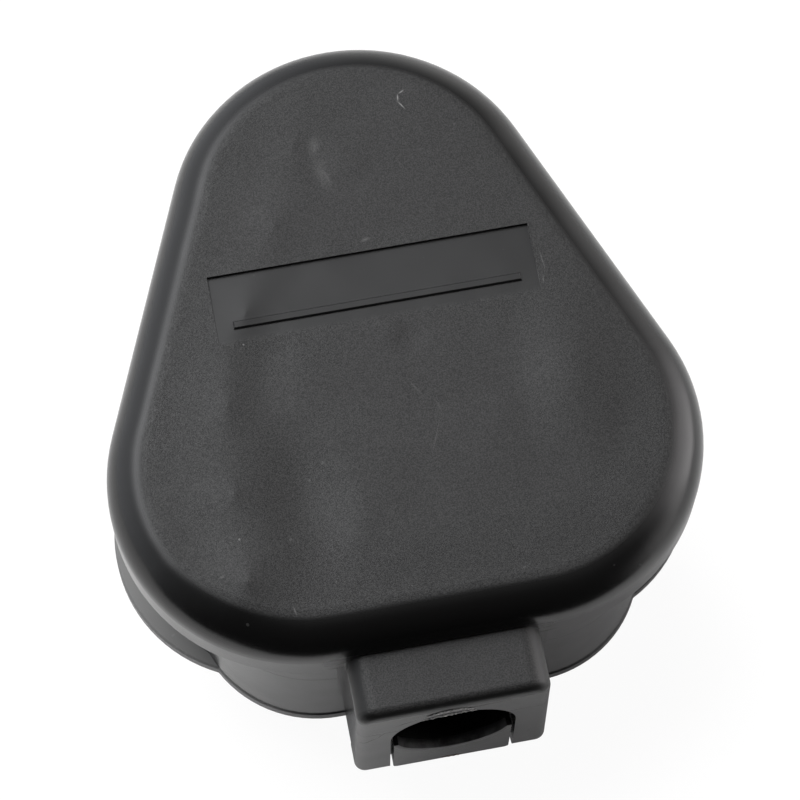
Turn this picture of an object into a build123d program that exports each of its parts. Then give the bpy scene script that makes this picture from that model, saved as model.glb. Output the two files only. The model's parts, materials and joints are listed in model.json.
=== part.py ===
"""A three-pin rewireable plug: moulded cover and base, solid pins, cartridge fuse, terminals and cord clamp."""
import os
from math import cos, radians, sin

from build123d import *

os.makedirs("parts", exist_ok=True)

# Frame: Z = 0 is the face that meets the socket and +Z goes out of the cover.
# +Y points to the earth pin, the cord leaves along -Y, and the origin is the middle of the pin pattern.

# Outline of the cover, a triangle with three equal round corners
body_width = 56.0
corner_radius = 18.1
corner_x = body_width / 2 - corner_radius
corner_y = -13.1
apex_y = 11.1

# Heights above the engagement face
flange_top = 1.8
seam_gap = 0.03
dome_edge_z = 15.2
top_z = 22.6
top_fillet = 4.0
ceiling_z = 20.3

# Insets measured inwards from the dome outline
waist_inset = 2.8
wall = 2.0

# Flange corners and the cord-end wall of the base
flange_corner_x, flange_corner_y, flange_corner_radius = 13.9, -12.2, 14.55
lobe_x, lobe_y, lobe_radius = 9.9, -19.6, 12.0
lobe_inset = 0.12
draft_deg = 1.07

# Cord hood and the round way that the hood and the base tongue make together
hood_half, hood_top, hood_front = 9.3, 18.7, 37.42
hood_draft_deg = 0.75
hood_edge_radius = 1.0
cord_z = 9.8
arch_radius, saddle_radius = 5.95, 5.5
tongue_top, tongue_back_set = 8.0, 0.08
tongue_half, tongue_key_half, tongue_key_back = 5.62, 5.86, 1.3

# Shallow panel on the top face, deepest at its upper edge, with one straight raised bar
panel_half, panel_top_y, panel_foot_y, panel_depth = 15.35, 6.58, -0.4, 0.32
bar_half, bar_y, bar_width, bar_proud = 13.7, 1.35, 0.75, 0.2

# Standard pins of a fused 13 A plug
pin_spacing = 22.23
row_y = -pin_spacing / 2
earth_y = pin_spacing / 2
line_x = pin_spacing / 2
line_pin = (6.35, 3.97)
line_length = 17.71
earth_pin_size = (3.97, 7.92)
earth_length = 22.73
sleeve_length = 9.3
sleeve_wall = 0.38
tip_chamfer = 0.9

# Inside of the base
floor_z = 3.0
rim_z = 4.4
pin_clearance = 0.05
head_z = floor_z + 0.05
pillar_top = 12.0
cover_screw_y = -3.5

# Fuse and its clips
fuse_radius, fuse_length, cap_length = 3.175, 25.4, 5.6
fuse_y = -4.3
clip_z = 4.45
clip_plate = 0.6
clip_inner, clip_outer = 3.22, 3.82
fuse_z = clip_z + clip_outer

# Cord clamp
clamp_y = -24.4
clamp_screw_x = 9.4
clamp_seat_top = 9.6


def hull_of(*circles):
    """Convex outline drawn tight round circles given as (x, y, radius)."""
    with BuildSketch() as outline:
        for x, y, radius in circles:
            with Locations((x, y)):
                Circle(radius)
        make_hull()
    return outline.sketch


def body_outline(inset):
    """The cover's rounded triangle, moved inwards by an inset."""
    radius = corner_radius - inset
    return hull_of((0, apex_y, radius), (-corner_x, corner_y, radius), (corner_x, corner_y, radius))


def lobe_outline(inset):
    """The cord-end wall, two round lobes joined by a straight edge."""
    radius = lobe_radius - inset
    return hull_of((-lobe_x, lobe_y, radius), (lobe_x, lobe_y, radius))


def cavity_outline(inset):
    """Plan of the wiring chamber, moved inwards by an inset."""
    with BuildSketch() as plan:
        add(body_outline(waist_inset + wall + inset))
        add(lobe_outline(lobe_inset + wall + 0.3 + inset))
    return plan.sketch


def plate(outline, thickness):
    """Flat plate with softened edges all round."""
    with BuildPart() as made:
        with BuildSketch():
            add(outline)
        extrude(amount=thickness)
        chamfer(made.faces().sort_by(Axis.Z)[-1].edges(), length=0.2)
        chamfer(made.faces().sort_by(Axis.Z)[0].edges(), length=0.35)
    return made.part


def screw(x, y, z, head, shank, length, pointing=-1):
    """Slotted cheese-head screw whose head seats at height z; pointing is the way the shank goes."""
    head_radius, head_height = head
    seat = Plane((x, y, z), z_dir=(0, 0, -pointing))
    with BuildPart() as made:
        with BuildSketch(seat):
            Circle(head_radius)
        extrude(amount=head_height)
        chamfer(made.faces().sort_by(Axis.Z)[-1 if pointing < 0 else 0].edges(), length=0.3)
        with BuildSketch(seat):
            Circle(shank)
        extrude(amount=-length)
        chamfer(made.faces().sort_by(Axis.Z)[0 if pointing < 0 else -1].edges(), length=0.35)
        with BuildSketch(seat.offset(head_height)):
            Rectangle(head_radius * 2.2, 0.8)
        extrude(amount=-0.9, mode=Mode.SUBTRACT)
    return made.part


# Cord hood, a drafted block with full round shoulders
with BuildPart() as hood:
    with BuildSketch():
        with Locations((0, -(hood_front + 28.0) / 2)):
            Rectangle(2 * hood_half, hood_front - 28.0)
    extrude(amount=hood_top, taper=hood_draft_deg)
    shoulders = hood.faces().sort_by(Axis.Z)[-1].edges().filter_by(Axis.Y)
    fillet(shoulders, radius=2.0)
    feet = hood.faces().sort_by(Axis.Z)[0].edges().filter_by(Axis.Y)
    fillet(feet, radius=1.1)
    fillet(hood.faces().sort_by(Axis.Y)[0].edges(), radius=hood_edge_radius)

# Cover
with BuildPart() as cover:
    # Dome with its deep rounded rim
    with BuildSketch(Plane.XY.offset(dome_edge_z)):
        add(body_outline(0))
    extrude(amount=top_z - dome_edge_z)
    fillet(cover.faces().sort_by(Axis.Z)[-1].edges(), radius=top_fillet)
    fillet(cover.faces().sort_by(Axis.Z)[0].edges(), radius=0.45)

    # Finger waist under the dome, with a soft root where it meets the rim
    with BuildSketch(Plane.XY.offset(flange_top + seam_gap)):
        add(body_outline(waist_inset))
    extrude(amount=dome_edge_z + 1 - flange_top - seam_gap)
    rim_underside = cover.faces().filter_by_position(Axis.Z, dome_edge_z - 0.01, dome_edge_z + 0.01)[0]
    fillet(rim_underside.inner_wires()[0].edges(), radius=1.2)

    # Cord-end wall that comes out flush with the rim, and the hood on it
    with BuildSketch(Plane.XY.offset(flange_top + seam_gap)):
        add(lobe_outline(lobe_inset))
    extrude(amount=dome_edge_z + 1 - flange_top - seam_gap, taper=draft_deg)

    add(hood.part)

    # Space for the base under the hood
    with BuildSketch(Plane.XY):
        with Locations((0, -lobe_radius - 3)):
            Rectangle(2 * hood_half + 4, 2 * (-lobe_y + 0.1))
    extrude(amount=flange_top + seam_gap, mode=Mode.SUBTRACT)

    # Wiring chamber
    with BuildSketch(Plane.XY.offset(flange_top)):
        add(cavity_outline(0))
    extrude(amount=ceiling_z - flange_top, mode=Mode.SUBTRACT)

    # Way for the cord: a straight-sided slot with a round head
    with BuildSketch(Plane.XZ.offset(hood_front)):
        with Locations((0, cord_z)):
            Circle(arch_radius)
        with Locations((0, cord_z / 2)):
            Rectangle(2 * arch_radius, cord_z)
    extrude(amount=-(hood_front - 26.0), mode=Mode.SUBTRACT)

    # Screw boss with its ribs, and the hole for the brass insert
    with BuildSketch(Plane.XY.offset(6.2)):
        with Locations((0, cover_screw_y)):
            Circle(4.0)
    extrude(until=Until.NEXT)
    with BuildSketch(Plane.XY.offset(17.2)):
        with Locations((0, cover_screw_y)):
            Rectangle(26, 1.2)
            Rectangle(1.2, 26)
    extrude(amount=ceiling_z - 17.2 + 0.5)
    with BuildSketch(Plane.XY.offset(6.2)):
        with Locations((0, cover_screw_y)):
            Circle(2.75)
    extrude(amount=9.0, mode=Mode.SUBTRACT)

    # Shallow panel on the top face, its floor rising to nothing at the cord side, with a bar left standing
    with BuildSketch(Plane.YZ.offset(-panel_half)):
        Polygon((panel_top_y, top_z), (panel_top_y, top_z - panel_depth), (panel_foot_y, top_z), align=None)
    extrude(amount=2 * panel_half, mode=Mode.SUBTRACT)
    with BuildSketch(Plane.XY.offset(top_z - panel_depth - 0.1)):
        with Locations((0, bar_y)):
            Rectangle(2 * bar_half, bar_width)
    extrude(amount=panel_depth + 0.1 + bar_proud)
    chamfer(cover.faces().sort_by(Axis.Z)[-1].edges(), length=0.1)
cover.part.label = "cover"
export_step(cover.part, "parts/cover.step")

# Base
with BuildPart() as base:
    # Flange: wide side lips that stand out under the finger waist, and the lobes of the cord end
    x, y, radius = flange_corner_x, flange_corner_y, flange_corner_radius
    add(plate(hull_of((0, apex_y, corner_radius), (-x, y, radius), (x, y, radius)), flange_top))
    add(plate(lobe_outline(0), flange_top))
    with BuildSketch():
        add(cavity_outline(0.2))
    extrude(amount=rim_z)
    with BuildSketch(Plane.XY.offset(floor_z)):
        add(cavity_outline(1.4))
    extrude(amount=rim_z - floor_z, mode=Mode.SUBTRACT)

    # Tongue that closes the hood from below, running back to the clamp seat, wider behind its front
    # where it keys into the slot
    for half, back_set in ((tongue_half, tongue_back_set), (tongue_key_half, tongue_key_back)):
        with BuildSketch(Plane.XZ.offset(hood_front - back_set)) as tongue_face:
            with Locations((0, tongue_top / 2)):
                Rectangle(2 * half, tongue_top)
            fillet(tongue_face.vertices().group_by(Axis.Y)[0], radius=0.5)
        extrude(amount=-(hood_front - back_set + clamp_y - 2.6))

    # Seat of the cord clamp with a post at each end
    with BuildSketch(Plane.XY.offset(floor_z)) as seat_plan:
        with Locations((0, clamp_y)):
            Rectangle(2 * clamp_screw_x + 6.4, 6.0)
        fillet(seat_plan.vertices(), radius=2.4)
    extrude(amount=clamp_seat_top - floor_z)

    # Round trough for the cord, flared at the mouth
    with BuildSketch(Plane.XZ.offset(hood_front + 1)):
        with Locations((0, cord_z)):
            Circle(saddle_radius)
    extrude(amount=-(hood_front + 1 - 20.0), mode=Mode.SUBTRACT)

    # Pilot holes for the two clamp screws
    with Locations(Plane.XY.offset(clamp_seat_top)):
        with Locations((-clamp_screw_x, clamp_y), (clamp_screw_x, clamp_y)):
            Hole(radius=1.35, depth=6.0)

    # Central boss that the cover screw passes through, its head sunk in the engagement face
    with BuildSketch(Plane.XY.offset(floor_z)):
        with Locations((0, cover_screw_y)):
            Circle(5.0)
    extrude(amount=3.0)
    with BuildSketch():
        with Locations((0, cover_screw_y)):
            Circle(3.6)
    extrude(amount=3.2, mode=Mode.SUBTRACT)
    with BuildSketch():
        with Locations((0, cover_screw_y)):
            Circle(1.95)
    extrude(amount=6.5, mode=Mode.SUBTRACT)

    # Pedestal under the fuse's outer clip and the live terminal
    with BuildSketch(Plane.XY.offset(floor_z)):
        with Locations((line_x, fuse_y + 10.2)):
            Rectangle(6.6, 4.4)
        with Locations((9.2, 12.3)):
            Rectangle(6.2, 5.8)
    extrude(amount=clip_z - 0.05 - floor_z)

    # Barrier ribs between the fuse, the neutral terminal and the screw boss
    with BuildSketch(Plane.XY.offset(floor_z)):
        with Locations((6.3, -5.5), (-5.9, -10.5)):
            Rectangle(0.9, 9.0)
    extrude(amount=9.0 - floor_z)

    # Slots for the three pins
    with BuildSketch():
        with Locations((-line_x, row_y), (line_x, row_y)):
            Rectangle(line_pin[0] + 2 * pin_clearance, line_pin[1] + 2 * pin_clearance)
        with Locations((0, earth_y)):
            Rectangle(earth_pin_size[0] + 2 * pin_clearance, earth_pin_size[1] + 2 * pin_clearance)
    extrude(amount=floor_z, mode=Mode.SUBTRACT)
base.part.label = "base"
export_step(base.part, "parts/base.step")


def blade(x, y, size, length, neck):
    """Solid pin with a chamfered tip; neck is the height range that the sleeve covers, or None."""
    with BuildPart() as made:
        with BuildSketch(Plane.XY.offset(-length)):
            with Locations((x, y)):
                Rectangle(*size)
        extrude(amount=length + floor_z + 0.05)
        chamfer(made.faces().sort_by(Axis.Z)[0].edges(), length=tip_chamfer)
        if neck:
            with BuildSketch(Plane.XY.offset(neck[0])):
                with Locations((x, y)):
                    Rectangle(size[0] + 1, size[1] + 1)
                    Rectangle(size[0] - 2 * sleeve_wall, size[1] - 2 * sleeve_wall, mode=Mode.SUBTRACT)
            extrude(amount=neck[1] - neck[0], mode=Mode.SUBTRACT)
    return made.part


def pillar(x, y, width, depth, foot, bore_along, screw_radius=1.65):
    """Square terminal block with a hole across it for the core and a tapped hole from above."""
    with BuildPart() as made:
        with BuildSketch(Plane.XY.offset(foot)) as plan:
            with Locations((x, y)):
                Rectangle(width, depth)
            fillet(plan.vertices(), radius=0.5)
        extrude(amount=pillar_top - foot)
        chamfer(made.faces().sort_by(Axis.Z)[-1].edges(), length=0.4)
        across = Plane((x, y, foot + 3.4), z_dir=bore_along)
        with BuildSketch(across):
            Circle(1.6)
        extrude(amount=width + depth, both=True, mode=Mode.SUBTRACT)
        with BuildSketch(Plane.XY.offset(pillar_top)):
            with Locations((x, y)):
                Circle(screw_radius)
        extrude(amount=-(pillar_top - foot - 3.4), mode=Mode.SUBTRACT)
    return made.part


sleeve_range = (-sleeve_length, 1.5)

with BuildPart() as earth_pin:
    add(blade(0, earth_y, earth_pin_size, earth_length, None))
    add(pillar(0, earth_y, 7.0, 9.0, head_z, (0, 1, 0)))
earth_pin.part.label = "earth_pin"
export_step(earth_pin.part, "parts/earth_pin.step")

with BuildPart() as neutral_pin:
    add(blade(-line_x, row_y, line_pin, line_length, sleeve_range))
    add(pillar(-line_x, row_y, 7.8, 7.0, head_z, (0, 1, 0)))
neutral_pin.part.label = "neutral_pin"
export_step(neutral_pin.part, "parts/neutral_pin.step")

with BuildPart() as live_pin:
    add(blade(line_x, row_y, line_pin, line_length, sleeve_range))
    with BuildSketch(Plane.XY.offset(head_z)) as shoulder:
        with Locations((line_x, row_y)):
            Rectangle(7.8, 6.6)
        fillet(shoulder.vertices(), radius=0.5)
    extrude(amount=clip_z - 0.02 - head_z)
live_pin.part.label = "live_pin"
export_step(live_pin.part, "parts/live_pin.step")

for side, name in ((-1, "neutral_sleeve"), (1, "live_sleeve")):
    with BuildPart() as sleeve:
        with BuildSketch(Plane.XY.offset(sleeve_range[0] + 0.02)):
            with Locations((side * line_x, row_y)):
                Rectangle(*line_pin)
                Rectangle(
                    line_pin[0] - 2 * sleeve_wall + 0.04,
                    line_pin[1] - 2 * sleeve_wall + 0.04,
                    mode=Mode.SUBTRACT,
                )
        extrude(amount=sleeve_range[1] - sleeve_range[0] - 0.04)
    sleeve.part.label = name
    export_step(sleeve.part, f"parts/{name}.step")

# Separate live terminal at the far end of the fuse
with BuildPart() as live_terminal:
    add(pillar(9.2, 12.3, 6.0, 5.6, clip_z + clip_plate + 0.02, (0, 1, 0)))
live_terminal.part.label = "live_terminal"
export_step(live_terminal.part, "parts/live_terminal.step")

# Terminal screws, run in far enough to show their heads just above the blocks
terminal_screws = {
    "earth_terminal_screw": (0, earth_y, 5.2),
    "neutral_terminal_screw": (-line_x, row_y, 5.2),
    "live_terminal_screw": (9.2, 12.3, 4.2),
}
for name, (x, y, length) in terminal_screws.items():
    with BuildPart() as terminal_screw:
        add(screw(x, y, pillar_top + 0.8, (2.4, 1.7), 1.6, length))
    terminal_screw.part.label = name
    export_step(terminal_screw.part, f"parts/{name}.step")

# Cartridge fuse: a ceramic tube with a brass cap on each end
with BuildPart() as fuse_body:
    with BuildSketch(Plane.XZ.offset(-fuse_y + fuse_length / 2 - 0.6)):
        with Locations((line_x, fuse_z)):
            Circle(fuse_radius - 0.35)
    extrude(amount=-(fuse_length - 1.2))
fuse_body.part.label = "fuse_body"
export_step(fuse_body.part, "parts/fuse_body.step")

for way, name in ((-1, "fuse_cap_inner"), (1, "fuse_cap_outer")):
    end = Plane((line_x, fuse_y + way * fuse_length / 2, fuse_z), z_dir=(0, -way, 0))
    with BuildPart() as fuse_cap:
        with BuildSketch(end):
            Circle(fuse_radius)
        extrude(amount=cap_length)
        chamfer(fuse_cap.faces().sort_by(Axis.Y)[0 if way < 0 else -1].edges(), length=0.4)
        with BuildSketch(end.offset(0.58)):
            Circle(fuse_radius - 0.33)
        extrude(amount=cap_length, mode=Mode.SUBTRACT)
    fuse_cap.part.label = name
    export_step(fuse_cap.part, f"parts/{name}.step")


def clip_grip(y, width):
    """Open spring ring round the fuse cap, with a flat foot under it."""
    with BuildPart() as made:
        with BuildSketch(Plane.XZ.offset(-y + width / 2)):
            with Locations((line_x, fuse_z)):
                Circle(clip_outer)
            with Locations((line_x, clip_z + clip_plate / 2)):
                Rectangle(5.0, clip_plate)
            with Locations((line_x, fuse_z)):
                Circle(clip_inner, mode=Mode.SUBTRACT)
            with Locations((line_x, fuse_z + clip_outer)):
                Rectangle(4.4, 2 * clip_outer - 1.2, mode=Mode.SUBTRACT)
        extrude(amount=-width)
    return made.part


with BuildPart() as fuse_clip_inner:
    add(clip_grip(row_y - 3.0, 4.6))
    with BuildSketch(Plane.XY.offset(clip_z)):
        with Locations((line_x, row_y - 1.2)):
            Rectangle(5.0, 8.0)
    extrude(amount=clip_plate)
    with BuildSketch(Plane.XZ.offset(-fuse_y + fuse_length / 2 + 5)):
        with Locations((line_x, fuse_z)):
            Circle(clip_inner)
    extrude(amount=-(fuse_length + 10), mode=Mode.SUBTRACT)
fuse_clip_inner.part.label = "fuse_clip_inner"
export_step(fuse_clip_inner.part, "parts/fuse_clip_inner.step")

with BuildPart() as fuse_clip_outer:
    add(clip_grip(fuse_y + 10.1, 4.4))
    with BuildSketch(Plane.XY.offset(clip_z)):
        with Locations((9.2, 11.4)):
            Rectangle(6.0, 7.4)
        with Locations((10.4, fuse_y + 12.3)):
            Rectangle(6.4, 2.6)
    extrude(amount=clip_plate)
    with BuildSketch(Plane.XZ.offset(-fuse_y + fuse_length / 2 + 5)):
        with Locations((line_x, fuse_z)):
            Circle(clip_inner)
    extrude(amount=-(fuse_length + 10), mode=Mode.SUBTRACT)
fuse_clip_outer.part.label = "fuse_clip_outer"
export_step(fuse_clip_outer.part, "parts/fuse_clip_outer.step")

# Cord clamp: a bridge over the cord with an ear at each end
with BuildPart() as cord_clamp:
    with BuildSketch(Plane.XZ.offset(-clamp_y + 2.7)):
        with Locations((0, clamp_seat_top + 0.3 + 1.2)):
            Rectangle(2 * clamp_screw_x + 6.0, 2.4)
        with Locations((0, cord_z)):
            Circle(6.9)
        with Locations((0, 0)):
            Rectangle(40, 2 * (clamp_seat_top + 0.3), mode=Mode.SUBTRACT)
        with Locations((0, cord_z)):
            Circle(4.9, mode=Mode.SUBTRACT)
    extrude(amount=-5.4)
    fillet(cord_clamp.edges().filter_by(Axis.Z), radius=1.6)
    with Locations(Plane.XY.offset(clamp_seat_top + 2.7)):
        with Locations((-clamp_screw_x, clamp_y), (clamp_screw_x, clamp_y)):
            Hole(radius=1.7, depth=3.0)
cord_clamp.part.label = "cord_clamp"
export_step(cord_clamp.part, "parts/cord_clamp.step")

for side, name in ((-1, "cord_clamp_screw_left"), (1, "cord_clamp_screw_right")):
    with BuildPart() as clamp_screw:
        add(screw(side * clamp_screw_x, clamp_y, clamp_seat_top + 2.75, (2.6, 1.9), 1.3, 8.0))
    clamp_screw.part.label = name
    export_step(clamp_screw.part, f"parts/{name}.step")

# Cover screw from the pin side, and the brass insert that it runs into
with BuildPart() as cover_screw:
    add(screw(0, cover_screw_y, 3.15, (3.3, 2.4), 1.75, 11.0, pointing=1))
cover_screw.part.label = "cover_screw"
export_step(cover_screw.part, "parts/cover_screw.step")

with BuildPart() as cover_insert:
    with BuildSketch(Plane.XY.offset(6.6)):
        with Locations((0, cover_screw_y)):
            Circle(2.7)
            Circle(1.8, mode=Mode.SUBTRACT)
    extrude(amount=8.0)
    chamfer(cover_insert.edges().group_by(Axis.Z)[0], length=0.2)
cover_insert.part.label = "cover_insert"
export_step(cover_insert.part, "parts/cover_insert.step")
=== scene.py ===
"""Looks of a black rewireable plug: moulded cover and base, brass pins and the small marks of moulding."""
import json
import math
import random
from collections import namedtuple

import bmesh
import bpy
from mathutils import Matrix, Vector


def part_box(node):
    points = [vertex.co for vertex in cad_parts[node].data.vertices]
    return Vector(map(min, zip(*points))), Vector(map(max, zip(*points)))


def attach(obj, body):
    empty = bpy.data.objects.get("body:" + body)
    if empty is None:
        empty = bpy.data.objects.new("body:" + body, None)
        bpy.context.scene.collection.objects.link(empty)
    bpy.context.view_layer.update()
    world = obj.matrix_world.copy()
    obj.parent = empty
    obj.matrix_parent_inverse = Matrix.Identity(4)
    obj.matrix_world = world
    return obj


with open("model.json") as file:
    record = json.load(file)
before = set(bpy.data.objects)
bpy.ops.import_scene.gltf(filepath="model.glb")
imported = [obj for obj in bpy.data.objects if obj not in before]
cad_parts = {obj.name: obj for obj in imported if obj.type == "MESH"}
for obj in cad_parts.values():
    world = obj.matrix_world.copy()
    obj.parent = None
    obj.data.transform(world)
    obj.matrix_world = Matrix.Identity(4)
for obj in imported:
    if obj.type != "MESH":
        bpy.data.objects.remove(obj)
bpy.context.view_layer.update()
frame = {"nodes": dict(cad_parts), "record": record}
nodes = frame["nodes"]

# Places and sizes are in millimetres, in the plug's own frame, unless a comment says otherwise
MM = 0.001
PLUG_CENTRE = Vector((0, -4, 14)) * MM

# The photograph's camera: angles in degrees about the plug's own axes, target and distance in metres
CAMERA = {
    "target": Vector((1.05, -4.91, 12.0)) * MM,
    "azimuth": -12.32,
    "elevation": 69.59,
    "roll": 1.687,
    "distance": 307.6 * MM,
    "lens": 144.03,
    "sensor": 36.0,
}

# Where the tabletop meets the tips of the two shorter pins, from their cord-side faces, and how nearly
# level the points of a tip are
ROW_REST = 2.2
TIP_TOLERANCE = 0.01

# Tabletops: near and far corners in metres, how far below the pin tips, paleness and own light
Table = namedtuple("Table", "near far drop albedo glow")
SEEN_TABLE = Table((-1.5, -1.5), (1.5, 1.5), 0.0, 0.06, 0.93)
LIT_TABLE = Table((-0.5, -0.06), (0.5, 0.6), 0.05, 0.50, 0.0)

# Soft lamp above: its direction from the plug, its distance and side in metres, its brightness and colour
LAMP_TOWARD = (-0.30, 0.45, 0.84)
LAMP_DISTANCE, LAMP_SIDE = 0.90, 0.7
LAMP_RADIANCE = 7.5
LAMP_COLOUR = (1.0, 0.985, 0.96)

# Soft patches of the studio's light: azimuth from +X and elevation of the middle, and spreads, in degrees
Patch = namedtuple("Patch", "azimuth elevation wide tall radiance colour")
SKY = (
    Patch(126, 60, 21, 20, 4.6, (0.99, 1.0, 1.02)),
    Patch(136, 11, 52, 45, 1.35, (0.97, 0.99, 1.04)),
    Patch(8, 20, 22, 32, 3.2, (1.0, 0.97, 0.98)),
    Patch(-12, -4, 26, 27, 1.6, (1.0, 0.98, 0.98)),
    Patch(55, -19, 27, 45, 1.2, (1.0, 0.99, 0.97)),
    Patch(65, 80, 34, 30, 0.2, (1.0, 1.0, 1.0)),
)

# Light from everywhere, and the brightness of the backdrop that only the camera sees
AMBIENT = 0.012
BACKDROP = 1.1

# A patch is full up to the first of these shares of its spreads and gone at the second
PATCH_FULL, PATCH_GONE = 0.4, 1.6

# A soft mark on a face: its middle, half length and half width, its turn in degrees and its strength
Mark = namedtuple("Mark", "x y long wide turn amount")

# Unevenness left by moulding on the top face, as heights
TOP_FORM = (
    Mark(-9.8, -17.0, 10.0, 5.0, 93, -0.44),
    Mark(-11.5, -3.0, 7.0, 4.0, 80, -0.16),
    Mark(-8.0, -24.0, 8.0, 5.0, 0, -0.10),
    Mark(-20.5, -18.5, 6.0, 5.0, 70, -0.10),
    Mark(-0.9, 16.2, 3.6, 3.2, 90, 0.07),
    Mark(0.3, -1.6, 2.2, 2.2, 0, 0.06),
    Mark(2.4, -3.0, 2.2, 2.2, 0, -0.07),
    Mark(16.6, -8.5, 12.0, 6.0, 86, 0.46),
    Mark(9.6, -11.5, 3.0, 3.0, 0, 0.05),
    Mark(12.5, -1.0, 6.0, 6.0, 0, 0.06),
    Mark(-4.4, -17.6, 4.0, 4.0, 0, 0.05),
    Mark(8.0, -16.3, 4.5, 4.5, 0, 0.05),
)

# The crease where the moulding sank beside the left edge: ridges with a sharp middle, as heights
TOP_CREASE = (
    Mark(-5.0, 18.5, 8.0, 4.2, 68, 0.13),
    Mark(-8.3, 10.6, 9.0, 5.0, 64, 0.19),
    Mark(-12.4, 2.4, 9.0, 5.5, 62, 0.27),
    Mark(-15.6, -6.4, 9.0, 5.5, 78, 0.36),
    Mark(-16.4, -15.0, 9.0, 6.0, 92, 0.46),
    Mark(-16.6, -23.5, 8.0, 6.0, 89, 0.54),
)

# How far the top face sinks towards its left and right edges, for each square millimetre
TOP_BOW = 0.0006

# How far it sinks towards the cord end, between these two values of Y
CORD_END_FALL = -0.30
CORD_END_Y = (-20.5, -28.5)

# How deep its broad waviness is
TOP_WAVES = 0.2

# Scuffs, scratches and caught lint on the top face, as how pale they are
TOP_SCUFFS = (
    Mark(6.2, 22.25, 0.45, 0.11, 28, 0.10),
    Mark(5.75, 21.7, 0.50, 0.11, 82, 0.12),
    Mark(5.95, 20.85, 0.70, 0.11, 122, 0.10),
    Mark(-3.05, 18.2, 1.5, 0.85, 70, 0.014),
    Mark(-3.0, 17.9, 0.8, 0.20, 75, 0.012),
    Mark(-2.8, 15.2, 2.6, 1.0, 100, 0.010),
    Mark(-2.4, 14.6, 1.5, 0.22, 108, 0.008),
    Mark(0.0, 7.7, 0.7, 0.25, 10, 0.03),
    Mark(-12.9, -27.0, 0.7, 0.10, 100, 0.04),
    Mark(16.0, 2.6, 1.4, 0.09, 95, 0.03),
    Mark(15.7, 0.7, 0.6, 0.09, 80, 0.03),
    Mark(1.9, -7.9, 1.6, 0.12, 120, 0.015),
    Mark(3.6, -9.9, 1.0, 0.12, 105, 0.015),
    Mark(2.8, -12.9, 2.6, 0.10, 68, 0.012),
    Mark(-16.7, -19.4, 0.15, 0.15, 0, 0.08),
    Mark(-12.6, -30.2, 0.15, 0.15, 0, 0.08),
    Mark(-15.6, -29.6, 0.13, 0.13, 0, 0.07),
    Mark(-13.1, -0.7, 0.14, 0.14, 0, 0.07),
)

# Scratches in the hood's front face, across and up, as heights
FRONT_SCRATCHES = (
    Mark(2.4, 16.7, 3.6, 0.12, 2, -0.05),
    Mark(-8.1, 11.2, 1.5, 0.14, 40, -0.06),
    Mark(-6.8, 12.7, 1.2, 0.12, 62, -0.05),
    Mark(-4.6, 15.2, 1.6, 0.10, 24, -0.04),
    Mark(7.4, 5.2, 0.9, 0.10, 75, -0.03),
)

# Heights of the top face and of the middle of the cord's way, and Y of the hood's front face
TOP_Z = 22.6
CORD_Z = 9.8
HOOD_FRONT_Y = -37.25

# How far above and below the top face a form and a scuff on it still reach
FORM_REACH, SCUFF_REACH = 6.0, 0.6

# Zones of the cover, each from where it begins to where it is full
TOP_FACE_Z = (22.44, 22.585)
NEAR_TOP_Z = (21.9, 22.1)
HOOD_Y = (-31.1, -31.4)
HOOD_TOP_Z = (18.35, 18.6)
HOOD_EDGE_Z = (16.9, 17.6)
PANEL_HALF_X = (15.36, 15.30)
PANEL_FOOT_Y = (-0.5, 0.2)
PANEL_HEAD_Y = (6.6, 6.56)

# Faint mould line under the dome
MOULD_LINE_Z, MOULD_LINE_HALF, MOULD_LINE_DEPTH = 13.1, 0.12, 0.02

# Height of the texture's grain, and roughness of smooth and of textured plastic
GRAIN_HEIGHT = 0.022
SMOOTH_ROUGHNESS, DULL_ROUGHNESS = 0.24, 0.46
# Paleness of smooth plastic, and the greatest paleness of the painted glints and of the dust specks
SMOOTH_PALENESS, GLINT_AND_DUST_PALENESS = 0.003, 0.015

# About how many features each noise has in a metre, first on the cover and then on the base
FINE_GRAIN, COARSE_GRAIN, SPECKLE = 9200, 3100, 4800
GLINTS, DUST, BLOTCHES, WAVES = 7600, 1700, 160, 90
FLOW, SATIN_GRAIN, SADDLE_MOTTLE, BASE_DUST = 120, 4200, 700, 1500

# Round marks of the ejector pins on the engagement face: x, y and radius
EJECTOR_MARKS = (
    (-17.5, -3.0, 1.6),
    (17.5, -3.0, 1.6),
    (0.0, 20.5, 1.6),
    (-8.0, -24.0, 1.6),
    (8.0, -24.0, 1.6),
    (0.0, -30.5, 1.3),
)
EJECTOR_SLOPE, EJECTOR_DEPTH = 0.12, 0.05

# Saddle under the cord, whose edge at the tongue's front has a painted highlight, by distance from the
# cord's middle,
# by Y and by Z: each from its start to where it is full
SADDLE_RADIUS = (6.3, 5.6)
SADDLE_Y = (-36.2, -37.2)
SADDLE_Z = (8.2, 7.6)
SADDLE_PAINTED_HIGHLIGHT = 0.05

# Edge of the flange, from its start to where it is full, with a painted reflection that is paler towards
# the left
FLANGE_FOOT_Z = (0.1, 0.5)
FLANGE_TOP_Z = (2.0, 1.8)
FLANGE_Y = (-33.0, -30.0)
FLANGE_LEFT_X = (-10, -16)
FLANGE_PAINTED_REFLECTION = (0.02, 0.10)

# Metal colours and roughness
BRASS = (0.78, 0.60, 0.30), 0.28
PLATED = (0.72, 0.70, 0.66), 0.30
ZINC = (0.66, 0.67, 0.68), 0.35
STAINED = 0.72
CERAMIC_COLOUR = (0.82, 0.79, 0.72, 1)

# Flash along the arch's crown: its radius, its Y, and where it starts and how far it turns, in degrees
FLASH_STATIONS = 44
FLASH_RADIUS, FLASH_Y = 6.05, -37.22
FLASH_START, FLASH_TURN = -30, 50

# Loose strip above it: where it starts, how far it reaches across, its height, rise and raggedness
CURL_X, CURL_ACROSS = -2.7, 4.5
CURL_Y, CURL_Z, CURL_RISE, CURL_RAGGED = -37.25, 16.2, 0.9, 0.12

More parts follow.
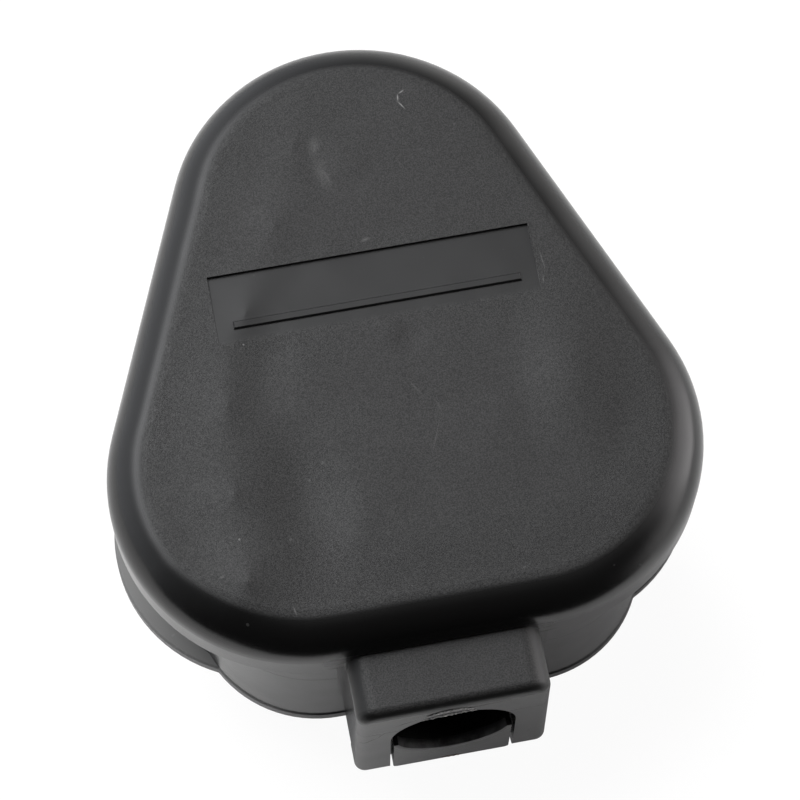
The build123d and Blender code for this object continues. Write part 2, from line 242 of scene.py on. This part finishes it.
# Broken gate on the tongue's lower edge, and nub on the dome's left edge
GATE_STATIONS = 26
GATE_X, GATE_ACROSS = -1.3, 2.6
GATE_Y, GATE_Z, GATE_RAGGED = -37.29, 0.55, 0.1
NUB_PLACE = Vector((-27.5, -10.8, 16.5))
NUB_RADII = (0.32, 0.60, 1.4)

# Tones of torn plastic, where it is pale and where it is dark
GREY_TONES = (0.55, 0.54, 0.53), (0.12, 0.12, 0.12)
BROWN_TONES = (0.08, 0.035, 0.022), (0.012, 0.007, 0.005)
BLACK_TONES = (0.02, 0.02, 0.02), (0.005, 0.005, 0.005)
BROWN_GLOSS = 0.12


def axes_of(azimuth, elevation, roll):
    """Right, up and back directions of a view given by its angles in degrees."""
    a, e, r = math.radians(azimuth), math.radians(elevation), math.radians(roll)
    back = Vector((math.sin(a) * math.cos(e), -math.cos(a) * math.cos(e), math.sin(e)))
    right = Vector((math.cos(a), math.sin(a), 0.0))
    up = back.cross(right)
    return right * math.cos(r) + up * math.sin(r), up * math.cos(r) - right * math.sin(r), back


def make_camera():
    """Camera at the photograph's place and angle."""
    right, up, back = axes_of(CAMERA["azimuth"], CAMERA["elevation"], CAMERA["roll"])
    data = bpy.data.cameras.new("photo_camera")
    data.lens = CAMERA["lens"]
    data.sensor_width = CAMERA["sensor"]
    data.clip_start, data.clip_end = 0.01, 10.0
    camera = bpy.data.objects.new("photo_camera", data)
    bpy.context.scene.collection.objects.link(camera)
    turn = Matrix((right, up, back)).transposed().to_4x4()
    camera.matrix_world = Matrix.Translation(CAMERA["target"] + back * CAMERA["distance"]) @ turn
    bpy.context.scene.camera = camera


def earth_tip_edge():
    """Lowest Z of the earth pin, and Y of its tip's cord-side edge inside the chamfer."""
    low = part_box("earth_pin")[0].z
    tip = [v.co for v in nodes["earth_pin"].data.vertices if v.co.z < low + TIP_TOLERANCE * MM]
    return low, min(place.y for place in tip)


def floor_plane():
    """Tabletop under the pin tips, as a point and a unit normal: the longer earth pin tilts the plug."""
    row_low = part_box("live_pin")[0]
    row = Vector((0, row_low.y + ROW_REST * MM, row_low.z))
    earth_z, earth_y = earth_tip_edge()
    along = (Vector((0, earth_y, earth_z)) - row).normalized()
    return row, Vector((1, 0, 0)).cross(along).normalized()


def white(name, albedo, glow):
    """Even matte white, with a little light of its own."""
    material = bpy.data.materials.new(name)
    material.use_nodes = True
    shader = material.node_tree.nodes["Principled BSDF"]
    shader.inputs["Base Color"].default_value = (albedo, albedo, albedo, 1)
    shader.inputs["Roughness"].default_value = 0.9
    shader.inputs["Specular IOR Level"].default_value = 0.1
    shader.inputs["Emission Color"].default_value = (1, 1, 1, 1)
    shader.inputs["Emission Strength"].default_value = glow
    return material


def make_table(name, kind):
    """Flat white rectangle under the pin tips."""
    point, normal = floor_plane()
    along = Vector((1, 0, 0)).cross(normal).normalized()
    if along.y < 0:
        along = -along
    (left, front), (right, back) = kind.near, kind.far
    corners = [(left, front), (right, front), (right, back), (left, back)]
    places = [point - normal * (kind.drop * MM) + Vector((x, 0, 0)) + along * y for x, y in corners]
    mesh = bpy.data.meshes.new(name)
    mesh.from_pydata([tuple(place) for place in places], [], [(0, 1, 2, 3)])
    mesh.update()
    if mesh.polygons[0].normal.dot(normal) < 0:
        mesh.flip_normals()
    mesh.materials.append(white(name + "_white", kind.albedo, kind.glow))
    made = bpy.data.objects.new(name, mesh)
    bpy.context.scene.collection.objects.link(made)
    return made


def make_floor():
    """White tabletop, overexposed as in the photograph, and the lit table that the plug's sides reflect."""
    shown = make_table("tabletop", SEEN_TABLE)
    shown.visible_glossy = False
    shown.visible_diffuse = False
    shown.visible_shadow = False
    lit = make_table("lit_table", LIT_TABLE)
    lit.visible_camera = False


def make_lamp():
    """Large soft square lamp above, which faces the plug and doesn't show in its gloss."""
    data = bpy.data.lights.new("table_light", "AREA")
    data.shape = "RECTANGLE"
    data.size = data.size_y = LAMP_SIDE
    data.energy = LAMP_RADIANCE * math.pi * LAMP_SIDE * LAMP_SIDE
    data.color = LAMP_COLOUR
    lamp = bpy.data.objects.new("table_light", data)
    lamp.visible_camera = False
    lamp.visible_glossy = False
    bpy.context.scene.collection.objects.link(lamp)
    direction = Vector(LAMP_TOWARD).normalized()
    lamp.location = PLUG_CENTRE + direction * LAMP_DISTANCE
    lamp.rotation_mode = "QUATERNION"
    lamp.rotation_quaternion = (-direction).to_track_quat("-Z", "Y")


def sky_patch(tree, direction, patch):
    """Light of one patch as a colour, full in its middle and fading smoothly outwards."""
    a, e = math.radians(patch.azimuth), math.radians(patch.elevation)
    middle = Vector((math.cos(e) * math.cos(a), math.cos(e) * math.sin(a), math.sin(e)))
    side = Vector((-math.sin(a), math.cos(a), 0.0))
    turn = Matrix((side, middle.cross(side), middle)).transposed()
    place = tree.nodes.new("ShaderNodeMapping")
    place.vector_type = "TEXTURE"
    place.inputs["Location"].default_value = middle
    place.inputs["Rotation"].default_value = turn.to_euler()
    spreads = (math.sin(math.radians(patch.wide)), math.sin(math.radians(patch.tall)), 1.0)
    place.inputs["Scale"].default_value = spreads
    tree.links.new(direction, place.inputs["Vector"])
    length = tree.nodes.new("ShaderNodeVectorMath")
    length.operation = "LENGTH"
    tree.links.new(place.outputs[0], length.inputs[0])
    fade = tree.nodes.new("ShaderNodeMapRange")
    fade.interpolation_type = "SMOOTHSTEP"
    tree.links.new(length.outputs["Value"], fade.inputs["Value"])
    fade.inputs["From Min"].default_value = PATCH_FULL
    fade.inputs["From Max"].default_value = PATCH_GONE
    fade.inputs["To Min"].default_value = patch.radiance
    fade.inputs["To Max"].default_value = 0.0
    colour = tree.nodes.new("ShaderNodeVectorMath")
    colour.operation = "SCALE"
    colour.inputs[0].default_value = patch.colour
    tree.links.new(fade.outputs[0], colour.inputs["Scale"])
    return colour.outputs[0]


def make_sky():
    """Soft studio light from above and behind and from the right; the camera sees a white backdrop."""
    world = bpy.data.worlds.new("studio")
    bpy.context.scene.world = world
    world.use_nodes = True
    tree = world.node_tree
    tree.nodes.clear()
    output = tree.nodes.new("ShaderNodeOutputWorld")
    backdrop = tree.nodes.new("ShaderNodeBackground")
    backdrop.inputs["Color"].default_value = (1, 1, 1, 1)
    backdrop.inputs["Strength"].default_value = BACKDROP
    direction = tree.nodes.new("ShaderNodeTexCoord").outputs["Generated"]
    light = None
    for patch in SKY:
        more = tree.nodes.new("ShaderNodeVectorMath")
        more.operation = "ADD"
        tree.links.new(sky_patch(tree, direction, patch), more.inputs[0])
        if light is None:
            more.inputs[1].default_value = (AMBIENT, AMBIENT, AMBIENT)
        else:
            tree.links.new(light, more.inputs[1])
        light = more.outputs[0]
    sky = tree.nodes.new("ShaderNodeBackground")
    tree.links.new(light, sky.inputs["Color"])
    path = tree.nodes.new("ShaderNodeLightPath")
    mix = tree.nodes.new("ShaderNodeMixShader")
    tree.links.new(path.outputs["Is Camera Ray"], mix.inputs[0])
    tree.links.new(sky.outputs[0], mix.inputs[1])
    tree.links.new(backdrop.outputs[0], mix.inputs[2])
    tree.links.new(mix.outputs[0], output.inputs[0])


def make_light():
    """The lamp, the sky and plain colours."""
    make_lamp()
    make_sky()
    bpy.context.scene.view_settings.view_transform = "Standard"
    bpy.context.scene.view_settings.look = "None"


class Shade:
    """Small helper that builds a material's node tree."""

    def __init__(self, name):
        self.material = bpy.data.materials.new(name)
        self.material.use_nodes = True
        self.tree = self.material.node_tree
        self.shader = self.tree.nodes["Principled BSDF"]
        self.place = self.tree.nodes.new("ShaderNodeTexCoord").outputs["Object"]

    def put(self, socket, value):
        """Links a node's output to a socket, or sets a plain value on it."""
        if isinstance(value, bpy.types.NodeSocket):
            self.tree.links.new(value, socket)
        else:
            socket.default_value = value

    def math(self, operation, first, second=0.0):
        """Result of a sum or a function of one or two values."""
        made = self.tree.nodes.new("ShaderNodeMath")
        made.operation = operation
        self.put(made.inputs[0], first)
        self.put(made.inputs[1], second)
        return made.outputs[0]

    def noise(self, scale, detail=4.0, roughness=0.5):
        """Noise around 0.5, with about so many features in a metre."""
        made = self.tree.nodes.new("ShaderNodeTexNoise")
        self.put(made.inputs["Vector"], self.place)
        made.inputs["Scale"].default_value = scale
        made.inputs["Detail"].default_value = detail
        made.inputs["Roughness"].default_value = roughness
        return made.outputs["Fac"]

    def ramp(self, value, low, high, at_low=0.0, at_high=1.0, smooth=True):
        """Value that changes from one level to another while its source goes from low to high."""
        made = self.tree.nodes.new("ShaderNodeMapRange")
        made.interpolation_type = "SMOOTHSTEP" if smooth else "LINEAR"
        self.put(made.inputs["Value"], value)
        made.inputs["From Min"].default_value = low
        made.inputs["From Max"].default_value = high
        self.put(made.inputs["To Min"], at_low)
        self.put(made.inputs["To Max"], at_high)
        return made.outputs[0]

    def zone(self, place, ends, at_low=0.0, at_high=1.0):
        """Ramp between two places given in millimetres."""
        return self.ramp(place, ends[0] * MM, ends[1] * MM, at_low, at_high)

    def spot(self, mark, height, reach, smooth=True):
        """Strength of a mark on a level face, gone at its edge, with a soft or a sharp middle."""
        turn = Matrix.Rotation(math.radians(mark.turn), 3, "Z")
        return self.spot_at(mark, Vector((mark.x, mark.y, height)), turn, reach, smooth)

    def front_spot(self, mark, depth, reach=1.0):
        """As spot, on an upright face that looks along -Y at a given depth."""
        upright = Matrix.Rotation(math.radians(90), 3, "X")
        turn = upright @ Matrix.Rotation(math.radians(mark.turn), 3, "Z")
        return self.spot_at(mark, Vector((mark.x, depth, mark.y)), turn, reach, True)

    def spot_at(self, mark, middle, turn, reach, smooth):
        """Strength of a mark with its own middle and turn."""
        made = self.tree.nodes.new("ShaderNodeMapping")
        made.vector_type = "TEXTURE"
        self.put(made.inputs["Vector"], self.place)
        made.inputs["Location"].default_value = middle * MM
        made.inputs["Rotation"].default_value = turn.to_euler()
        made.inputs["Scale"].default_value = Vector((mark.long, mark.wide, reach)) * MM
        length = self.tree.nodes.new("ShaderNodeVectorMath")
        length.operation = "LENGTH"
        self.put(length.inputs[0], made.outputs[0])
        if smooth:
            return self.ramp(length.outputs["Value"], 0.0, 1.0, mark.amount, 0.0)
        fade = self.ramp(length.outputs["Value"], 0.0, 1.0, 1.0, 0.0, smooth=False)
        return self.product(fade, fade, mark.amount)

    def total(self, *values):
        """Sum of several values."""
        result = values[0]
        for value in values[1:]:
            result = self.math("ADD", result, value)
        return result

    def product(self, *values):
        """Product of several values."""
        result = values[0]
        for value in values[1:]:
            result = self.math("MULTIPLY", result, value)
        return result

    def larger(self, first, second):
        """The larger of two values."""
        return self.math("MAXIMUM", first, second)

    def less(self, first, second):
        """The first value less the second."""
        return self.math("SUBTRACT", first, second)

    def distance_to(self, middle):
        """Distance from a place given in millimetres."""
        made = self.tree.nodes.new("ShaderNodeVectorMath")
        made.operation = "DISTANCE"
        self.put(made.inputs[0], self.place)
        made.inputs[1].default_value = Vector(middle) * MM
        return made.outputs["Value"]

    def tone(self, pale):
        """Grey colour from a value."""
        made = self.tree.nodes.new("ShaderNodeCombineXYZ")
        for socket in made.inputs:
            self.put(socket, pale)
        return made.outputs[0]

    def mix(self, share, first, second):
        """Colour between two, by how much of the second it has."""
        made = self.tree.nodes.new("ShaderNodeMix")
        made.data_type = "RGBA"
        self.put(made.inputs[0], share)
        self.put(made.inputs[6], (*first, 1))
        self.put(made.inputs[7], (*second, 1))
        return made.outputs[2]

    def coordinates(self):
        """X, Y and Z in the plug's frame."""
        made = self.tree.nodes.new("ShaderNodeSeparateXYZ")
        self.put(made.inputs[0], self.place)
        return made.outputs

    def bump(self, height, distance, strength=1.0, below=None):
        """Normal of a relief whose height is in units of a distance in millimetres."""
        made = self.tree.nodes.new("ShaderNodeBump")
        made.inputs["Strength"].default_value = strength
        made.inputs["Distance"].default_value = distance * MM
        self.put(made.inputs["Height"], height)
        if below is not None:
            self.put(made.inputs["Normal"], below)
        return made.outputs[0]

    def set(self, **inputs):
        """Sets the shader's own sockets and gives back the material."""
        for key, value in inputs.items():
            self.put(self.shader.inputs[key.replace("_", " ")], value)
        return self.material


def top_form(s, x, y):
    """Height of the top face's unevenness: sinks, crease, bow, fall to the cord end and waves."""
    sinks = [s.spot(mark, TOP_Z, FORM_REACH) for mark in TOP_FORM]
    crease = [s.spot(mark, TOP_Z, FORM_REACH, smooth=False) for mark in TOP_CREASE]
    bow = s.product(x, x, -TOP_BOW / MM / MM)
    fall = s.zone(y, CORD_END_Y, 0.0, CORD_END_FALL)
    return s.total(*sinks, *crease, bow, fall, s.product(s.noise(WAVES, 2.0), TOP_WAVES))


def mould_line(s, z):
    """Height of the fine line where the mould's parts met."""
    away = s.math("ABSOLUTE", s.less(z, MOULD_LINE_Z * MM))
    return s.zone(away, (0.0, MOULD_LINE_HALF), -MOULD_LINE_DEPTH, 0.0)


def cover_plastic():
    """Black moulded plastic: fine spark texture with painted glints on the top and hood, a satin rim and
    smoother walls.
    """
    s = Shade("cover_plastic_look")
    x, y, z = s.coordinates()
    top = s.zone(z, TOP_FACE_Z)
    hood = s.zone(y, HOOD_Y)
    hood_top = s.product(s.zone(z, HOOD_TOP_Z), hood)
    hood_edges = s.product(s.zone(z, HOOD_EDGE_Z), hood)
    sides = s.zone(s.math("ABSOLUTE", x), PANEL_HALF_X)
    head = s.zone(y, PANEL_HEAD_Y)
    panel = s.product(sides, s.zone(y, PANEL_FOOT_Y), head, s.zone(z, NEAR_TOP_Z))
    textured = s.product(s.larger(top, hood_top), s.less(1.0, panel))
    dull = s.larger(s.larger(top, panel), hood_edges)

    scratches = [s.front_spot(mark, HOOD_FRONT_Y) for mark in FRONT_SCRATCHES]
    form = s.total(top_form(s, x, y), *scratches, mould_line(s, z))
    grain = s.total(s.noise(FINE_GRAIN, 2.0, 0.6), s.product(s.noise(COARSE_GRAIN, 1.0), 0.35))
    relief = s.bump(s.product(grain, textured), GRAIN_HEIGHT, below=s.bump(form, 1.0))

    roughness = s.ramp(dull, 0.0, 1.0, SMOOTH_ROUGHNESS, DULL_ROUGHNESS, smooth=False)
    speckle = s.product(textured, s.less(s.noise(SPECKLE, 2.0, 0.6), 0.37), 0.35)
    blotches = s.product(s.less(s.noise(BLOTCHES, 3.0), 0.5), 0.10)

    scuffs = [s.spot(mark, TOP_Z, SCUFF_REACH) for mark in TOP_SCUFFS]
    # Painted glints of the spark texture, as pale specks in the base colour; the dust specks below are the
    # plastic's own
    painted_glints = s.product(s.ramp(s.noise(GLINTS, 2.0, 0.7), 0.36, 0.64, 0.0, GLINT_AND_DUST_PALENESS), textured)
    dust = s.ramp(s.noise(DUST, 0.0), 0.85, 0.90, 0.0, GLINT_AND_DUST_PALENESS)
    plain = s.product(s.less(1.0, textured), SMOOTH_PALENESS)
    pale = s.total(*scuffs, painted_glints, dust, plain)
    roughness = s.total(roughness, speckle, blotches)
    return s.set(Base_Color=s.tone(pale), Roughness=roughness, IOR=1.45, Normal=relief)


def base_plastic():
    """Black moulded plastic, satin all over, with flow and ejector marks, a rougher saddle and flange, a
    painted highlight on the saddle and a painted reflection on the flange.
    """
    s = Shade("base_plastic_look")
    x, y, z = s.coordinates()
    flow = s.noise(FLOW, 3.0)
    rings = []
    for mark_x, mark_y, radius in EJECTOR_MARKS:
        away = s.distance_to((mark_x, mark_y, 0))
        rings.append(s.zone(away, (radius - EJECTOR_SLOPE, radius), -EJECTOR_DEPTH, 0.0))
    fine = s.bump(s.noise(SATIN_GRAIN, 2.0), 0.012, 0.5)
    marks = s.bump(s.total(*rings), 1.0, below=fine)
    relief = s.bump(flow, 0.3, 0.15, below=marks)

    above = s.less(z, CORD_Z * MM)
    radius = s.math("SQRT", s.total(s.product(x, x), s.product(above, above)))
    saddle = s.product(s.zone(radius, SADDLE_RADIUS), s.zone(y, SADDLE_Y), s.zone(z, SADDLE_Z))
    flange = s.product(s.zone(z, FLANGE_FOOT_Z), s.zone(z, FLANGE_TOP_Z), s.zone(y, FLANGE_Y))

    # Painted highlight on the saddle's edge at the tongue's front, mottled by noise, as paler base colour
    painted_saddle_highlight = s.product(saddle, s.ramp(s.noise(SADDLE_MOTTLE, 4.0, 0.6), 0.30, 0.70), SADDLE_PAINTED_HIGHLIGHT)
    # Painted reflection of the bright table on the flange's edge, as paler base colour, growing paler
    # towards the left
    edge = s.product(flange, s.zone(x, FLANGE_LEFT_X, *FLANGE_PAINTED_REFLECTION))
    dust = s.product(s.ramp(s.noise(BASE_DUST, 0.0), 0.78, 0.86), 0.02)
    pale = s.total(painted_saddle_highlight, edge, dust, 0.002)
    uneven = s.product(s.less(flow, 0.5), 0.14)
    roughness = s.total(0.25, uneven, s.product(s.larger(saddle, flange), 0.2))
    return s.set(Base_Color=s.tone(pale), Roughness=roughness, IOR=1.45, Normal=relief)


def torn_plastic(name, pale, dark):
    """Ragged plastic where moulding flash or the gate tore, in two tones of a colour."""
    s = Shade(name)
    colour = s.mix(s.ramp(s.noise(2600, 4.0, 0.7), 0.35, 0.65), pale, dark)
    roughness = s.ramp(s.noise(3000, 2.0), 0.3, 0.7, 0.45, 0.75)
    return s.set(Base_Color=colour, Roughness=roughness, Normal=s.bump(s.noise(4200, 3.0), 0.06))


def metal(name, colour, roughness):
    """Bright metal with fine tumbling marks and slight stains."""
    s = Shade(name)
    marks = s.noise(1400, 4.0)
    stained = [level * STAINED for level in colour]
    tint = s.mix(s.ramp(s.noise(220, 3.0), 0.45, 0.75), colour, stained)
    rough = s.total(roughness, s.product(s.less(marks, 0.5), 0.2))
    return s.set(Base_Color=tint, Metallic=1.0, Roughness=rough, Normal=s.bump(marks, 0.01, 0.6))


def ceramic():
    """Unglazed ceramic tube with faint speckle."""
    s = Shade("ceramic_look")
    speck = s.noise(2600, 2.0)
    roughness = s.ramp(speck, 0.3, 0.7, 0.5, 0.7)
    return s.set(Base_Color=CERAMIC_COLOUR, Roughness=roughness, Normal=s.bump(speck, 0.02, 0.4))


def dress():
    """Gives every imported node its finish."""
    base = base_plastic()
    by_node = {
        "cover": cover_plastic(),
        "base": base,
        "cord_clamp": base,
        "neutral_sleeve": base,
        "live_sleeve": base,
        "fuse_body": ceramic(),
    }
    plated = metal("plated_look", *PLATED)
    by_slot = {
        "pin_brass": metal("pin_brass_look", *BRASS),
        "clip_metal": plated,
        "cap_metal": plated,
        "screw_steel": metal("zinc_look", *ZINC),
    }
    slots = {part["node"]: part["material_slot"] for part in frame["record"]["subparts"]}
    for name, item in nodes.items():
        look = by_node.get(name) or by_slot[slots[name]]
        for slot in item.material_slots:
            slot.material = look


def settle(name, mesh, material):
    """Finishes a piece: smooth faces, one subdivision, its material, and its place on the part."""
    data = bpy.data.meshes.new(name)
    mesh.to_mesh(data)
    mesh.free()
    data.materials.append(material)
    for face in data.polygons:
        face.use_smooth = True
    piece = bpy.data.objects.new(name, data)
    bpy.context.scene.collection.objects.link(piece)
    smooth = piece.modifiers.new("smooth", "SUBSURF")
    smooth.levels = smooth.render_levels = 1
    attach(piece, "root")


def shred(name, spine, widths, thickness, seed, material):
    """Ragged strip of torn plastic along a spine: each station is a six-sided ring with a seeded size."""
    rng = random.Random(seed)
    sides = 6
    mesh = bmesh.new()
    rings = []
    for index, (point, outward) in enumerate(spine):
        taper = math.sin(math.pi * (index + 0.5) / len(spine)) ** 0.5
        half = 0.5 * taper * rng.uniform(*widths)
        deep = 0.5 * thickness * taper * rng.uniform(0.6, 1.0)
        ring = []
        for side in range(sides):
            turn = 2 * math.pi * side / sides
            shift = outward * (half * math.cos(turn)) + Vector((0, 1, 0)) * (deep * math.sin(turn))
            ring.append(mesh.verts.new((point - outward * half * 0.8 + shift) * MM))
        rings.append(ring)
    for first, second in zip(rings, rings[1:]):
        for side in range(sides):
            after = (side + 1) % sides
            mesh.faces.new((first[side], first[after], second[after], second[side]))
    mesh.faces.new(rings[0][::-1])
    mesh.faces.new(rings[-1])
    bmesh.ops.recalc_face_normals(mesh, faces=mesh.faces)
    settle(name, mesh, material)


def lump(name, middle, radii, seed, material):
    """Small uneven blister of plastic."""
    rng = random.Random(seed)
    mesh = bmesh.new()
    bmesh.ops.create_icosphere(mesh, subdivisions=3, radius=1.0)
    for vertex in mesh.verts:
        swell = 1.0 + rng.uniform(-0.10, 0.06)
        vertex.co = (middle + Vector([r * c * swell for r, c in zip(radii, vertex.co)])) * MM
    settle(name, mesh, material)


def arch_spine():
    """Stations along the arch's crown, from left to right."""
    spine = []
    for index in range(FLASH_STATIONS):
        turn = math.radians(FLASH_START + FLASH_TURN * index / (FLASH_STATIONS - 1))
        outward = Vector((math.sin(turn), 0, math.cos(turn)))
        spine.append((Vector((0, FLASH_Y, CORD_Z)) + outward * FLASH_RADIUS, outward))
    return spine


def curl_spine(rng):
    """Stations along the loose strip above the crown, which bows upwards."""
    spine = []
    for index in range(FLASH_STATIONS):
        along = index / (FLASH_STATIONS - 1)
        height = CURL_Z + CURL_RISE * math.sin(math.pi * along) + rng.uniform(-CURL_RAGGED, CURL_RAGGED)
        spine.append((Vector((CURL_X + CURL_ACROSS * along, CURL_Y, height)), Vector((-0.2, 0, 1))))
    return spine


def gate_spine(rng):
    """Stations along the tongue's lower edge, where the gate broke off."""
    spine = []
    for index in range(GATE_STATIONS):
        along = index / (GATE_STATIONS - 1)
        height = GATE_Z + rng.uniform(-GATE_RAGGED, GATE_RAGGED)
        spine.append((Vector((GATE_X + GATE_ACROSS * along, GATE_Y, height)), Vector((0, 0, 1))))
    return spine


def add_flash():
    """The torn flash at the arch's crown, the broken gate under the tongue and the nub on the left edge."""
    grey = torn_plastic("flash_look", *GREY_TONES)
    brown = torn_plastic("gate_look", *BROWN_TONES)
    brown.node_tree.nodes["Principled BSDF"].inputs["Specular IOR Level"].default_value = BROWN_GLOSS
    black = torn_plastic("nub_look", *BLACK_TONES)
    rng = random.Random(29)
    shred("arch_flash", arch_spine(), (0.15, 0.85), 0.28, 11, grey)
    shred("arch_flash_curl", curl_spine(rng), (0.12, 0.60), 0.24, 23, grey)
    shred("gate_scar", gate_spine(rng), (0.45, 1.25), 0.24, 5, brown)
    lump("edge_nub", NUB_PLACE, NUB_RADII, 3, black)


make_camera()
make_floor()
make_light()
dress()
add_flash()
